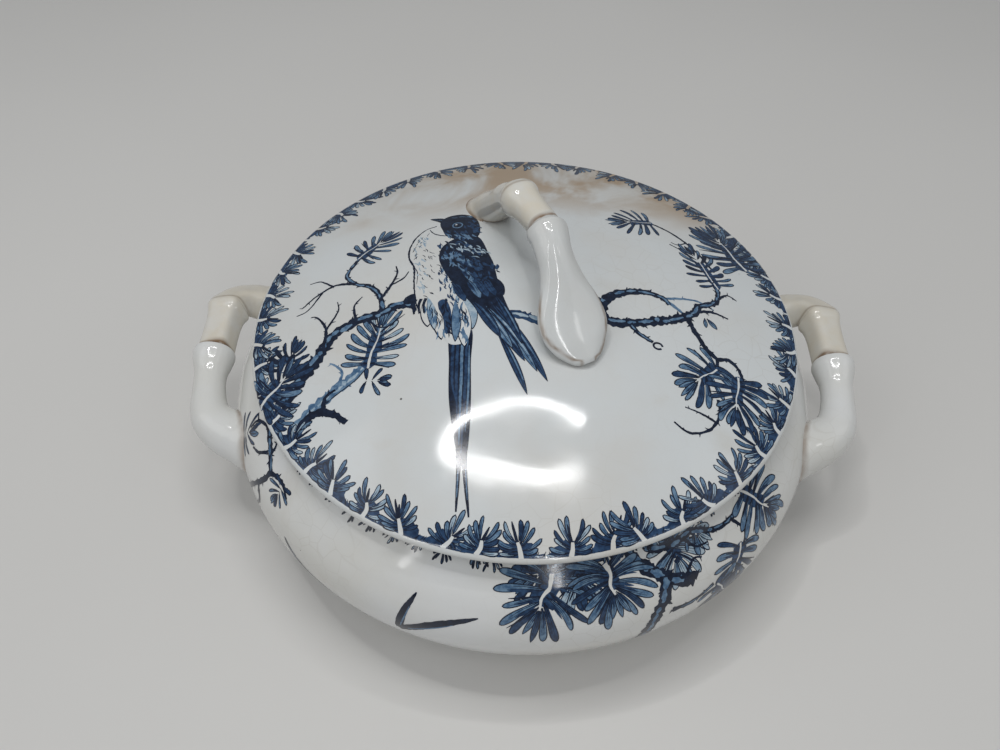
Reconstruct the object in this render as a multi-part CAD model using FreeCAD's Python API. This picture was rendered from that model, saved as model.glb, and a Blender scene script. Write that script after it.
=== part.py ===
import FreeCAD, Part
import math
import os

# Covered soup tureen in glazed earthenware, in millimetres.
# +Z is up, +X runs from one side handle to the other, and the origin is on the table,
# at the middle of the foot.  The bowl and the lid are the two loose pieces.

V = FreeCAD.Vector
TURN = 360.0

# Bowl
BELLY_RADIUS = 131.5        # widest line of the bowl
BELLY_HEIGHT = 48.5
BASE_RADIUS = 76.0          # flat underside, where the lower wall starts
BASE_HEIGHT = 7.5
BASE_FLOOR = 13.0           # inside floor
WALL = 5.5
SHOULDER_SPAN = (54.0, 40.0)    # half axes of the ellipse above the belly line
NECK_RADIUS = 111.5
MOUTH_RADIUS = 105.0
BOWL_RIM = 85.0             # flat rim on which the lid rests
RIM_ROUND = 1.5

# Foot ring
FOOT_OUTER = 75.5
FOOT_INNER = 68.5
FOOT_ROUND = 1.2

# Lid
SEAT_GAP = 0.3
LID_RADIUS = 118.0
LID_UNDERSIDE = BOWL_RIM + SEAT_GAP
LIP_MIDDLE = 88.0           # widest line of the lid
LIP_TOP_RADIUS = 116.0      # where the rounded lip meets the dome
DOME_TOP = 117.4
DOME_RISE = 47.3            # dome: top - rise * (sqrt(1 + (r / spread)^2) - 1)
DOME_SPREAD = 95.0
DOME_WALL = 5.2
LID_INNER_RADIUS = 105.5    # the dome's hollow starts here
FLANGE_OUTER = 103.3
FLANGE_INNER = 98.8
FLANGE_BOTTOM = 77.5

# Handles
LID_HANDLE_TURN = 23.5      # degrees from -Y towards +X
RING_POINTS = 16


def dome(r):
    """Height of the lid's outer face at radius r."""
    return DOME_TOP - DOME_RISE * (math.hypot(1.0, r / DOME_SPREAD) - 1.0)


def dome_curve(offset, start, end, count=14):
    """Dome outline in the XZ plane between two radii, lowered by offset."""
    points = []
    for i in range(count + 1):
        r = start + (end - start) * i / count
        points.append(V(r, 0, dome(r) - offset))
    curve = Part.BSplineCurve()
    curve.interpolate(points)
    return curve.toShape()


def ellipse_arc(cx, cz, half_x, half_z, start, end, count=10):
    """Arc of an ellipse in the XZ plane between two angles in degrees."""
    points = []
    for i in range(count + 1):
        a = math.radians(start + (end - start) * i / count)
        points.append(V(cx + half_x * math.cos(a), 0, cz + half_z * math.sin(a)))
    curve = Part.BSplineCurve()
    curve.interpolate(points)
    return curve.toShape()


def line(a, b):
    return Part.makeLine(V(a[0], 0, a[1]), V(b[0], 0, b[1]))


def arc(a, middle, b):
    return Part.Arc(*(V(p[0], 0, p[1]) for p in (a, middle, b))).toShape()


def revolve(edges):
    """Solid of revolution about Z from a closed outline in the XZ plane."""
    face = Part.Face(Part.Wire(Part.__sortEdges__(edges)))
    solid = face.revolve(V(0, 0, 0), V(0, 0, 1), TURN)
    if solid.Volume < 0:
        solid.reverse()
    return solid


def shoulder_angle(radius, centre, half):
    return math.degrees(math.acos((radius - centre) / half))


def bowl_outline(inset):
    """Lower and upper wall curves, moved inwards by inset, and the neck's foot height."""
    neck = NECK_RADIUS if inset == 0 else MOUTH_RADIUS
    floor = BASE_HEIGHT if inset == 0 else BASE_FLOOR
    span_x, span_z = SHOULDER_SPAN[0] - inset, SHOULDER_SPAN[1] - inset
    centre = BELLY_RADIUS - SHOULDER_SPAN[0]
    top = shoulder_angle(neck, centre, span_x)
    lower = ellipse_arc(BASE_RADIUS, BELLY_HEIGHT, BELLY_RADIUS - inset - BASE_RADIUS,
                        BELLY_HEIGHT - floor, -90, 0)
    upper = ellipse_arc(centre, BELLY_HEIGHT, span_x, span_z, 0, top)
    neck_foot = BELLY_HEIGHT + span_z * math.sin(math.radians(top))
    return lower, upper, neck_foot


def bowl_body():
    lower_out, upper_out, foot_out = bowl_outline(0.0)
    lower_in, upper_in, foot_in = bowl_outline(WALL)
    rise = RIM_ROUND * (1 - math.sqrt(0.5))
    edges = [
        line((0, BASE_HEIGHT), (BASE_RADIUS, BASE_HEIGHT)), lower_out, upper_out,
        line((NECK_RADIUS, foot_out), (NECK_RADIUS, BOWL_RIM - RIM_ROUND)),
        arc((NECK_RADIUS, BOWL_RIM - RIM_ROUND), (NECK_RADIUS - rise, BOWL_RIM - rise),
            (NECK_RADIUS - RIM_ROUND, BOWL_RIM)),
        line((NECK_RADIUS - RIM_ROUND, BOWL_RIM), (MOUTH_RADIUS + RIM_ROUND, BOWL_RIM)),
        arc((MOUTH_RADIUS + RIM_ROUND, BOWL_RIM), (MOUTH_RADIUS + rise, BOWL_RIM - rise),
            (MOUTH_RADIUS, BOWL_RIM - RIM_ROUND)),
        line((MOUTH_RADIUS, BOWL_RIM - RIM_ROUND), (MOUTH_RADIUS, foot_in)),
        upper_in, lower_in,
        line((BASE_RADIUS, BASE_FLOOR), (0, BASE_FLOOR)),
        line((0, BASE_FLOOR), (0, BASE_HEIGHT)),
    ]
    return revolve(edges)


def bowl_envelope():
    """The bowl as if it were solid, to trim the handles to its face."""
    lower_out, upper_out, foot_out = bowl_outline(0.0)
    edges = [
        line((0, BASE_HEIGHT), (BASE_RADIUS, BASE_HEIGHT)), lower_out, upper_out,
        line((NECK_RADIUS, foot_out), (NECK_RADIUS, BOWL_RIM)),
        line((NECK_RADIUS, BOWL_RIM), (0, BOWL_RIM)),
        line((0, BOWL_RIM), (0, BASE_HEIGHT)),
    ]
    return revolve(edges)


def foot_ring():
    r = FOOT_ROUND
    edges = [
        line((FOOT_INNER, BASE_HEIGHT), (FOOT_OUTER, BASE_HEIGHT)),
        line((FOOT_OUTER, BASE_HEIGHT), (FOOT_OUTER, r)),
        arc((FOOT_OUTER, r), (FOOT_OUTER - 0.3 * r, 0.3 * r), (FOOT_OUTER - r, 0)),
        line((FOOT_OUTER - r, 0), (FOOT_INNER + r, 0)),
        arc((FOOT_INNER + r, 0), (FOOT_INNER + 0.3 * r, 0.3 * r), (FOOT_INNER, r)),
        line((FOOT_INNER, r), (FOOT_INNER, BASE_HEIGHT)),
    ]
    return revolve(edges)


def lid_shell():
    top = (LIP_TOP_RADIUS, dome(LIP_TOP_RADIUS))
    edges = [
        dome_curve(0.0, 0.0, LIP_TOP_RADIUS),
        arc(top, (LID_RADIUS, LIP_MIDDLE), (LIP_TOP_RADIUS - 0.4, LID_UNDERSIDE)),
        line((LIP_TOP_RADIUS - 0.4, LID_UNDERSIDE), (LID_INNER_RADIUS, LID_UNDERSIDE)),
        line((LID_INNER_RADIUS, LID_UNDERSIDE),
             (LID_INNER_RADIUS, dome(LID_INNER_RADIUS) - DOME_WALL)),
        dome_curve(DOME_WALL, LID_INNER_RADIUS, 0.0),
        line((0, DOME_TOP - DOME_WALL), (0, DOME_TOP)),
    ]
    return revolve(edges)


def dome_envelope(offset):
    """Everything under the dome, lowered by offset."""
    edges = [
        dome_curve(offset, 0.0, LIP_TOP_RADIUS),
        line((LIP_TOP_RADIUS, dome(LIP_TOP_RADIUS) - offset), (LIP_TOP_RADIUS, 0)),
        line((LIP_TOP_RADIUS, 0), (0, 0)),
        line((0, 0), (0, DOME_TOP - offset)),
    ]
    return revolve(edges)


def lid_locating_flange():
    """Ring under the lid that drops into the bowl's mouth."""
    radius = (FLANGE_OUTER - FLANGE_INNER) / 2
    middle = (FLANGE_OUTER + FLANGE_INNER) / 2
    edges = [
        line((FLANGE_INNER, DOME_TOP), (FLANGE_OUTER, DOME_TOP)),
        line((FLANGE_OUTER, DOME_TOP), (FLANGE_OUTER, FLANGE_BOTTOM + radius)),
        arc((FLANGE_OUTER, FLANGE_BOTTOM + radius), (middle, FLANGE_BOTTOM),
            (FLANGE_INNER, FLANGE_BOTTOM + radius)),
        line((FLANGE_INNER, FLANGE_BOTTOM + radius), (FLANGE_INNER, DOME_TOP)),
    ]
    return revolve(edges).common(dome_envelope(DOME_WALL))


def section(centre, tangent, half_side, half_up, side):
    """Closed oval across a bar: half_side along the side direction, half_up across it."""
    tangent = V(tangent).normalize()
    side = (side - tangent * side.dot(tangent)).normalize()
    up = side.cross(tangent)
    points = []
    for i in range(RING_POINTS):
        a = 2 * math.pi * i / RING_POINTS
        points.append(centre + side * (half_side * math.cos(a)) + up * (half_up * math.sin(a)))
    curve = Part.BSplineCurve()
    curve.interpolate(points, True)
    return Part.Wire([curve.toShape()])


def bar(stations, side):
    """Loft along stations of (point, half width along side, half width across)."""
    centres = [V(*s[0]) for s in stations]
    wires = []
    for i, (_, half_side, half_up) in enumerate(stations):
        before = centres[max(i - 1, 0)]
        after = centres[min(i + 1, len(centres) - 1)]
        wires.append(section(centres[i], after - before, half_side, half_up, side))
    return Part.makeLoft(wires, True, False)


def side_handle():
    """Right-hand bamboo handle: a stout front limb, a thinner stick and a rear limb."""
    up = V(0, 0, 1)
    front_limb = bar([
        ((110.1, -42.0, 48.0), 15.0, 14.0),
        ((120.1, -41.5, 50.0), 13.0, 12.0),
        ((129.3, -38.0, 52.0), 11.0, 10.5),
        ((136.3, -33.0, 54.5), 9.5, 9.4),
        ((140.9, -25.0, 56.8), 8.2, 8.2),
        ((142.4, -16.5, 58.3), 7.3, 7.3),
        ((143.0, -10.0, 59.6), 7.3, 7.3),
        ((143.3, -4.0, 60.6), 8.6, 8.6),
        ((143.4, 0.5, 61.3), 9.4, 9.4),
        ((143.4, 3.0, 61.6), 9.3, 9.3),
    ], up)
    stick = bar([
        ((143.3, -3.0, 60.8), 7.2, 7.2),
        ((142.9, 12.0, 62.4), 7.3, 7.3),
        ((142.5, 22.5, 63.5), 7.5, 7.5),
        ((142.1, 28.8, 64.0), 8.6, 8.6),
        ((141.3, 33.0, 63.9), 8.1, 8.1),
        ((140.0, 38.0, 63.3), 6.9, 6.9),
        ((139.0, 42.0, 63.0), 4.2, 4.2),
    ], up)
    rear_limb = bar([
        ((140.8, 36.0, 63.4), 6.5, 6.5),
        ((136.6, 39.2, 60.4), 7.2, 7.2),
        ((131.8, 41.0, 56.4), 8.0, 7.8),
        ((124.0, 42.0, 51.8), 9.6, 9.0),
        ((114.0, 42.0, 48.0), 11.5, 10.0),
    ], up)
    return front_limb.fuse([stick, rear_limb]).cut(bowl_envelope()).removeSplitter()


def lid_handle():
    """Bamboo arch on the lid: a rear root, a thin stick, a node and a leaf-shaped foot.

    Rows are distance along, height over the lip, distance aside, half width, half thickness.
    """
    turn = math.radians(LID_HANDLE_TURN)
    along = V(math.sin(turn), -math.cos(turn), 0)
    across = V(math.cos(turn), math.sin(turn), 0)

    def place(rows):
        stations = []
        for s, height, aside, half_width, half_thick in rows:
            point = along * s + across * aside + V(0, 0, LIP_MIDDLE + height)
            stations.append(((point.x, point.y, point.z), half_width, half_thick))
        return bar(stations, across)

    rear = place([
        (-64, 12.0, 5.6, 11.0, 10.5), (-59, 17.6, 5.5, 9.4, 9.0), (-54, 23.0, 5.3, 8.2, 8.0),
        (-48, 28.6, 5.0, 7.6, 7.4), (-42, 34.6, 4.6, 6.8, 6.8), (-35, 41.6, 4.1, 6.3, 6.3),
        (-28, 48.6, 3.5, 6.4, 6.4), (-21.5, 53.9, 3.2, 7.3, 7.2), (-16, 56.6, 3.2, 8.1, 7.9),
        (-11.5, 57.0, 3.7, 7.3, 7.2), (-6, 56.8, 4.5, 6.5, 6.4), (0, 56.4, 5.2, 6.3, 6.2),
        (8, 56.0, 5.6, 6.2, 6.1),
    ])
    front = place([
        (4.2, 56.1, 5.6, 8.1, 7.8), (8.5, 55.4, 5.2, 8.0, 7.5), (14.5, 52.6, 4.4, 7.5, 6.6),
        (19.5, 48.6, 4.4, 8.0, 5.8), (24.5, 43.9, 4.4, 9.8, 5.2), (29, 39.7, 4.3, 12.3, 4.8),
        (33.5, 35.8, 4.1, 13.9, 4.5), (38, 32.4, 3.9, 13.9, 4.2), (42, 29.6, 4.0, 12.2, 3.9),
        (45.8, 27.2, 4.3, 9.2, 3.5), (50.2, 24.2, 4.6, 4.4, 2.6),
    ])
    return rear.fuse(front).cut(dome_envelope(0.0)).removeSplitter()


def mirrored(shape):
    return shape.mirror(V(0, 0, 0), V(1, 0, 0))


def main():
    os.makedirs("parts", exist_ok=True)
    right = side_handle()
    parts = {
        "bowl_body": bowl_body(),
        "foot_ring": foot_ring(),
        "right_handle": right,
        "left_handle": mirrored(right),
        "lid_shell": lid_shell(),
        "lid_locating_flange": lid_locating_flange(),
        "lid_handle": lid_handle(),
    }
    for name, shape in parts.items():
        if not shape.isValid() or len(shape.Solids) != 1:
            raise ValueError(name + " is not one valid solid")
        shape.exportStep("parts/" + name + ".step")


main()
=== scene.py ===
import math
import random

import bmesh
import bpy
import numpy
from mathutils import Matrix, Vector
from mathutils.bvhtree import BVHTree
from mathutils.geometry import delaunay_2d_cdt


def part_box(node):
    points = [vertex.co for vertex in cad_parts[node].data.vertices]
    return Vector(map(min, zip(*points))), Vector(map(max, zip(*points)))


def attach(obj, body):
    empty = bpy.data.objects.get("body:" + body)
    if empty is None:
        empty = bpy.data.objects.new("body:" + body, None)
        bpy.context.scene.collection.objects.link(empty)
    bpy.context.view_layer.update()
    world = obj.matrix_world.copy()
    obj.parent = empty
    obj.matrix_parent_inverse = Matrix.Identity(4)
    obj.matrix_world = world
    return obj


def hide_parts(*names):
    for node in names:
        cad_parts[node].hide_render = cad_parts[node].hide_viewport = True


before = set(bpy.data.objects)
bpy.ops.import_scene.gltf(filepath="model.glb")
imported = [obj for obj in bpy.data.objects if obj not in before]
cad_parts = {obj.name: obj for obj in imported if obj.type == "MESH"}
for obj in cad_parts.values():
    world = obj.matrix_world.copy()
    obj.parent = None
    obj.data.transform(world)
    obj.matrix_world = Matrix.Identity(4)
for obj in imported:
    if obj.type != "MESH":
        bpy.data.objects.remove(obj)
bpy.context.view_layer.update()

# ---- driving dimensions, metres

MM = 0.001
BOWL_LOW, BOWL_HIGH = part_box("bowl_body")
LID_LOW, LID_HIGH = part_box("lid_shell")
FLANGE_LOW, FLANGE_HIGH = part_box("lid_locating_flange")
FOOT_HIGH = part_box("foot_ring")[1]

BELLY_R = BOWL_HIGH.x
BELLY_Z = 48.5 * MM
BASE_R = 76 * MM
BASE_Z = BOWL_LOW.z
FLOOR_Z = 13 * MM
WALL = 5.5 * MM
SHOULDER = (54 * MM, 40 * MM)      # half axes of the ellipse above the belly
NECK_R = 111.5 * MM
MOUTH_R = 105 * MM
RIM_Z = BOWL_HIGH.z
RIM_ROUND = 1.2 * MM

LID_R = LID_HIGH.x
LIP_Z = 88 * MM                    # widest line of the lid
LIP_TOP_R = 116 * MM
DOME_TOP = LID_HIGH.z
DOME_RISE = 47.3 * MM
DOME_SPREAD = 95 * MM
DOME_WALL = 5.2 * MM
LID_INNER_R = 105.5 * MM
LID_UNDER_Z = LID_LOW.z
LIP_ROUND = 3 * MM
FLANGE_OUT = FLANGE_HIGH.x
FLANGE_IN = FLANGE_OUT - 4.5 * MM
FOOT_IN = 68.5 * MM

LATHE_STEPS = 384


def dome(r):
    """Height of the lid's outer face at radius r."""
    return DOME_TOP - DOME_RISE * (math.hypot(1, r / DOME_SPREAD) - 1)


# ---- mesh helpers

def new_object(name, data):
    made = bpy.data.objects.new(name, data)
    bpy.context.scene.collection.objects.link(made)
    return made


def shade_smooth(mesh):
    mesh.polygons.foreach_set("use_smooth", [True] * len(mesh.polygons))
    mesh.update()


def sample(curve, count):
    return [curve(i / count) for i in range(count + 1)]


def ellipse_run(cx, cz, half_x, half_z, start, end, count):
    """Points (r, z) on an ellipse between two angles in degrees."""
    def at(t):
        a = math.radians(start + (end - start) * t)
        return (cx + half_x * math.cos(a), cz + half_z * math.sin(a))
    return sample(at, count)


def line_run(a, b, count):
    return sample(lambda t: (a[0] + (b[0] - a[0]) * t, a[1] + (b[1] - a[1]) * t), count)


def polyline(start, *legs):
    """Points along straight legs, each given by its end and its number of steps."""
    points = [start]
    for end, count in legs:
        points += line_run(points[-1], end, count)[1:]
    return points


def dome_run(offset, start, end, count):
    """Points (r, z) at offset under the dome, between two radii."""
    def at(t):
        r = start + (end - start) * t
        return (r, dome(r) - offset)
    return sample(at, count)


def soften(points, passes):
    """Rounds the corners of an open profile; the ends stay."""
    for _ in range(passes):
        inner = [((a[0] + 2 * b[0] + c[0]) / 4, (a[1] + 2 * b[1] + c[1]) / 4)
                 for a, b, c in zip(points, points[1:], points[2:])]
        points = [points[0]] + inner + [points[-1]]
    return points


def even(points, step):
    """The same line with its points an even distance apart."""
    lengths = [0.0]
    for a, b in zip(points, points[1:]):
        lengths.append(lengths[-1] + math.dist(a, b))
    count = max(2, round(lengths[-1] / step))
    out, j = [], 0
    for i in range(count + 1):
        want = lengths[-1] * i / count
        while j < len(points) - 2 and lengths[j + 1] < want:
            j += 1
        span = lengths[j + 1] - lengths[j] or 1.0
        t = (want - lengths[j]) / span
        out.append(tuple(p + (q - p) * t for p, q in zip(points[j], points[j + 1])))
    return out


def solid(name, verts, faces):
    """Object with its faces turned outwards and shaded smooth."""
    mesh = bpy.data.meshes.new(name)
    mesh.from_pydata(verts, [], faces)
    bm = bmesh.new()
    bm.from_mesh(mesh)
    bmesh.ops.recalc_face_normals(bm, faces=bm.faces)
    bm.to_mesh(mesh)
    bm.free()
    shade_smooth(mesh)
    return new_object(name, mesh)


def lathe(name, profile, closed_ring=False):
    """Surface of revolution about Z. A profile that starts and ends on the axis is closed there."""
    verts, faces, rings = [], [], []
    for r, z in profile:
        count = 1 if r < 1e-6 else LATHE_STEPS
        rings.append(range(len(verts), len(verts) + count))
        for i in range(count):
            a = 2 * math.pi * i / LATHE_STEPS
            verts.append((r * math.cos(a), r * math.sin(a), z))
    pairs = list(zip(rings, rings[1:]))
    if closed_ring:
        pairs.append((rings[-1], rings[0]))
    for low, high in pairs:
        for i in range(LATHE_STEPS):
            j = (i + 1) % LATHE_STEPS
            if len(low) == 1:
                faces.append((low[0], high[j], high[i]))
            elif len(high) == 1:
                faces.append((low[i], low[j], high[0]))
            else:
                faces.append((low[i], low[j], high[j], high[i]))
    return solid(name, verts, faces)


# ---- bowl, foot and lid

SHOULDER_X = BELLY_R - SHOULDER[0]


def neck_angle(radius, half):
    """Angle in degrees at which the shoulder's ellipse, half wide, has come in to radius."""
    return math.degrees(math.acos((radius - SHOULDER_X) / half))


def bowl_face():
    """Outer profile of the bowl from the edge of its flat base up to the rim."""
    top = neck_angle(NECK_R, SHOULDER[0])
    wall = ellipse_run(BASE_R, BELLY_Z, BELLY_R - BASE_R, BELLY_Z - BASE_Z, -90, 0, 60)
    wall += ellipse_run(SHOULDER_X, BELLY_Z, *SHOULDER, 0, top, 60)[1:]
    wall += line_run(wall[-1], (NECK_R, RIM_Z - 0.5 * MM), 8)[1:]
    return wall


def bowl_outline():
    """Closed outline of the bowl's wall: base, outside, rim, inside and floor."""
    outer = bowl_face()
    top = neck_angle(MOUTH_R, SHOULDER[0] - WALL)
    rim = polyline(outer[-1], ((NECK_R - RIM_ROUND, RIM_Z), 3), ((MOUTH_R + RIM_ROUND, RIM_Z), 6))
    inner = ellipse_run(BASE_R, BELLY_Z, BELLY_R - WALL - BASE_R, BELLY_Z - FLOOR_Z, -90, 0, 60)
    inner += ellipse_run(SHOULDER_X, BELLY_Z, SHOULDER[0] - WALL, SHOULDER[1] - WALL, 0, top, 40)[1:]
    inner += line_run(inner[-1], (MOUTH_R, RIM_Z - RIM_ROUND), 8)[1:]
    base = line_run((0, BASE_Z), (BASE_R, BASE_Z), 20)
    floor = line_run((0, FLOOR_Z), (BASE_R, FLOOR_Z), 20)
    profile = base + outer[1:] + rim[1:] + inner[::-1] + floor[::-1][1:]
    profile = soften(even(profile, 0.7 * MM), 6)
    profile[0], profile[-1] = (0, BASE_Z), (0, FLOOR_Z)
    return even(profile, 2.0 * MM)


BOWL_OUTLINE = bowl_outline()


def bowl():
    piece = lathe("glazed_bowl", BOWL_OUTLINE)
    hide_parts("bowl_body")
    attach(piece, "bowl")
    return piece


def foot():
    out, top = FOOT_HIGH.x, FOOT_HIGH.z
    start = (FOOT_IN - 1.2 * MM, top + 0.4 * MM)
    profile = polyline(start, ((FOOT_IN, top - 1.5 * MM), 4), ((FOOT_IN + 0.4 * MM, 0), 6),
                       ((out - 0.6 * MM, 0), 6), ((out - 0.2 * MM, top - 2.5 * MM), 6),
                       ((out + 2.6 * MM, top + 1.6 * MM), 4), ((out - 1.5 * MM, top + 1.6 * MM), 3),
                       (start, 4))[:-1]
    profile = soften(even(profile, 0.5 * MM), 3)
    piece = lathe("turned_foot", profile, closed_ring=True)
    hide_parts("foot_ring")
    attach(piece, "bowl")
    return piece


def lid_face():
    """Outer profile of the lid from its centre to the middle of the lip's underside."""
    outer = dome_run(0, 0, LIP_TOP_R, 80)
    lip = ellipse_run(LID_R - LIP_ROUND, LIP_Z - 0.05 * MM, LIP_ROUND, 2.3 * MM, 62, -90, 10)
    return soften(even(outer + lip, 0.5 * MM), 4)


def lid():
    face = lid_face()
    bend = next(i for i, p in enumerate(face) if p[0] > 0.93 * LID_R)
    under = polyline((LID_R - LIP_ROUND, LID_UNDER_Z), ((LID_INNER_R, LID_UNDER_Z), 6),
                     ((LID_INNER_R, dome(LID_INNER_R) - DOME_WALL), 4))
    inner = dome_run(DOME_WALL, LID_INNER_R, 0, 60)[1:]
    inner = soften(even(under + inner, 0.5 * MM), 4)
    inner[-1] = (0, DOME_TOP - DOME_WALL)
    profile = even([(0, DOME_TOP)] + face[1:bend + 1], 2.0 * MM)
    profile += even(face[bend:], 0.45 * MM)[1:] + even(inner, 1.8 * MM)[1:]
    piece = lathe("glazed_lid", profile)
    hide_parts("lid_shell")
    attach(piece, "lid")
    return piece


def locating_ring():
    middle, half = (FLANGE_OUT + FLANGE_IN) / 2, (FLANGE_OUT - FLANGE_IN) / 2
    out_top, in_top = dome(FLANGE_OUT) - DOME_WALL + MM, dome(FLANGE_IN) - DOME_WALL + MM
    nose = ellipse_run(middle, FLANGE_LOW.z + half, half, half, 0, -180, 14)
    start = (FLANGE_OUT, out_top)
    profile = line_run(start, nose[0], 6) + nose[1:]
    profile += polyline(nose[-1], ((FLANGE_IN, in_top - 2 * MM), 6),
                        ((FLANGE_IN - 2 * MM, in_top + 0.2 * MM), 3), (start, 4))[1:-1]
    piece = lathe("lid_ring", soften(even(profile, 0.6 * MM), 2), closed_ring=True)
    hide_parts("lid_locating_flange")
    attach(piece, "lid")
    return piece


# ---- bamboo bars

RING = 48
ROW_STEPS = 6
FLARE_STEPS = 7
FLARE_SINK = 0.9 * MM


def catmull(a, b, c, d, t):
    return tuple(0.5 * (2 * q + (r - p) * t + (2 * p - 5 * q + 4 * r - s) * t * t
                        + (3 * q - p - 3 * r + s) * t ** 3)
                 for p, q, r, s in zip(a, b, c, d))


def smooth_rows(rows):
    """Rows of numbers with a smooth curve run through them."""
    out = []
    for i in range(len(rows) - 1):
        a, d = rows[max(i - 1, 0)], rows[min(i + 2, len(rows) - 1)]
        out += [catmull(a, rows[i], rows[i + 1], d, k / ROW_STEPS) for k in range(ROW_STEPS)]
    out.append(tuple(rows[-1]))
    return out


def bar_rings(rows, side, power, turn=0.0):
    """Oval rings along rows of (x, y, z, half width along side, half width across), metres.

    power above 2 squares the oval off, with its flat faces turned round the bar by turn.
    """
    rows = smooth_rows(rows)
    centres = [Vector(r[:3]) for r in rows]
    angles = [2 * math.pi * k / RING for k in range(RING)]
    outs = [(abs(math.cos(a - turn)) ** power + abs(math.sin(a - turn)) ** power) ** (-1 / power)
            for a in angles]
    rings = []
    for i, row in enumerate(rows):
        along = (centres[min(i + 1, len(rows) - 1)] - centres[max(i - 1, 0)]).normalized()
        across = (side - along * side.dot(along)).normalized()
        up = across.cross(along)
        rings.append([centres[i] + across * (row[3] * math.cos(a) * out)
                      + up * (row[4] * math.sin(a) * out) for a, out in zip(angles, outs)])
    return rings


def centre_of(points):
    return sum(points, Vector()) / len(points)


def flare(rings, body, reach):
    """Ends a bar on a body's face with a soft fillet that runs out to reach round it."""
    last = rings[-1]
    along = (centre_of(last) - centre_of(rings[-3])).normalized()
    feet = [body.ray_cast(p, along)[0] or body.find_nearest(p)[0] for p in last]
    middle = centre_of(feet)
    ends = []
    for point in feet:
        normal = body.find_nearest(point)[1]
        out = point - middle
        out = (out - normal * out.dot(normal)).normalized()
        spot, face_normal = body.find_nearest(point + out * reach)[:2]
        ends.append(spot - face_normal * FLARE_SINK)
    for k in range(1, FLARE_STEPS + 1):
        t = k / FLARE_STEPS
        rings.append([p * (1 - t) ** 2 + q * 2 * t * (1 - t) + e * t * t
                      for p, q, e in zip(last, feet, ends)])
    return rings


def skin(name, rings):
    """Closed skin over a stack of rings."""
    verts = [p for ring in rings for p in ring]
    faces = []
    for base in range(0, len(verts) - RING, RING):
        for k in range(RING):
            j = (k + 1) % RING
            faces.append((base + k, base + j, base + RING + j, base + RING + k))
    for ring, base in ((rings[0], 0), (rings[-1], (len(rings) - 1) * RING)):
        faces += [(len(verts), base + k, base + (k + 1) % RING) for k in range(RING)]
        verts.append(centre_of(ring))
    return solid(name, verts, faces)


def merge(piece, other):
    """Welds other into piece as one closed skin."""
    union = piece.modifiers.new("union", "BOOLEAN")
    union.operation, union.solver, union.object = "UNION", "EXACT", other
    graph = bpy.context.evaluated_depsgraph_get()
    mesh = bpy.data.meshes.new_from_object(piece.evaluated_get(graph))
    piece.modifiers.clear()
    piece.data = mesh
    bpy.data.objects.remove(other)
    shade_smooth(mesh)


def wear(piece, tint, stain):
    """Stores how warm and how stained the clay is at each point, for the glaze to show."""
    points = [v.co for v in piece.data.vertices]
    for name, rule in (("warm", tint), ("stain", stain)):
        layer = piece.data.attributes.new(name, "FLOAT", "POINT")
        layer.data.foreach_set("value", [min(max(rule(p), 0.0), 1.0) for p in points])


def near(distance, reach):
    """1 at no distance, falling to 0 at reach."""
    return max(0.0, 1 - abs(distance) / reach)


def rise(value, low, high):
    """0 below low, 1 above high."""
    t = min(max((value - low) / (high - low), 0.0), 1.0)
    return t * t * (3 - 2 * t)


def tree_of(piece):
    return BVHTree.FromObject(piece, bpy.context.evaluated_depsgraph_get())


def scaled(rows):
    return [tuple(v * MM for v in row) for row in rows]


# Right-hand handle, millimetres: x, y, z, half width along Z, half width across.
FRONT_LIMB = [
    (143.4, 3.5, 61.8, 6.0, 6.0),
    (143.4, 3.3, 61.8, 8.9, 8.9),
    (143.4, 2.5, 61.7, 9.6, 9.5),
    (143.4, 0.6, 61.4, 9.6, 9.5),
    (143.3, -3.0, 60.8, 8.8, 8.7),
    (143.1, -8.0, 59.9, 7.5, 7.4),
    (142.8, -13.0, 59.0, 7.2, 7.2),
    (142.0, -19.0, 57.9, 7.5, 7.5),
    (140.8, -25.0, 56.8, 8.2, 8.2),
    (138.3, -30.5, 55.6, 9.0, 9.0),
    (134.3, -34.0, 54.3, 9.8, 9.8),
    (129.7, -36.2, 53.0, 10.8, 10.6),
]
STICK = [
    (143.3, -1.0, 61.0, 6.0, 6.0),
    (143.2, 0.5, 61.2, 7.2, 7.2),
    (143.0, 8.0, 62.0, 7.0, 7.0),
    (142.8, 16.0, 62.8, 6.9, 6.9),
    (142.6, 22.0, 63.4, 7.1, 7.1),
    (142.4, 25.6, 63.7, 7.6, 7.6),
    (142.2, 27.6, 63.9, 8.3, 8.2),
    (142.0, 29.2, 64.0, 8.5, 8.4),
    (141.7, 30.6, 63.9, 8.0, 8.0),
    (140.2, 34.4, 63.2, 7.1, 7.2),
    (137.4, 38.0, 61.7, 6.9, 7.0),
    (134.2, 40.0, 60.0, 7.0, 7.1),
    (131.0, 41.0, 58.4, 7.4, 7.4),
]


def side_handle(body):
    def build(rows, power, turn, reach):
        rings = bar_rings(scaled(rows), Vector((0, 0, 1)), power, turn)
        return skin("bamboo_right_handle", flare(rings, body, reach))

    piece = build(FRONT_LIMB, 2.15, math.radians(-15), 5.0 * MM)
    merge(piece, build(STICK, 4.0, math.radians(-15), 3.0 * MM))
    node_y, cap_y, cap_x = 3.4 * MM, 31.0 * MM, 132 * MM

    def stain(p):
        ring = 1.7 * near(p.y - node_y - 0.6 * MM, 2.2 * MM) * rise(p.y, 2.6 * MM, 3.4 * MM)
        cap = near(p.y - cap_y, 1.0 * MM) * rise(p.x, cap_x, cap_x + 2 * MM)
        gap = body.find_nearest(p)[3]
        return max(ring, 0.6 * cap, 0.75 * near(gap - 0.4 * MM, 1.6 * MM))

    wear(piece, lambda p: rise(p.y, 1 * MM, 6 * MM), stain)
    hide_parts("right_handle")
    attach(piece, "bowl")
    return piece


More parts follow.
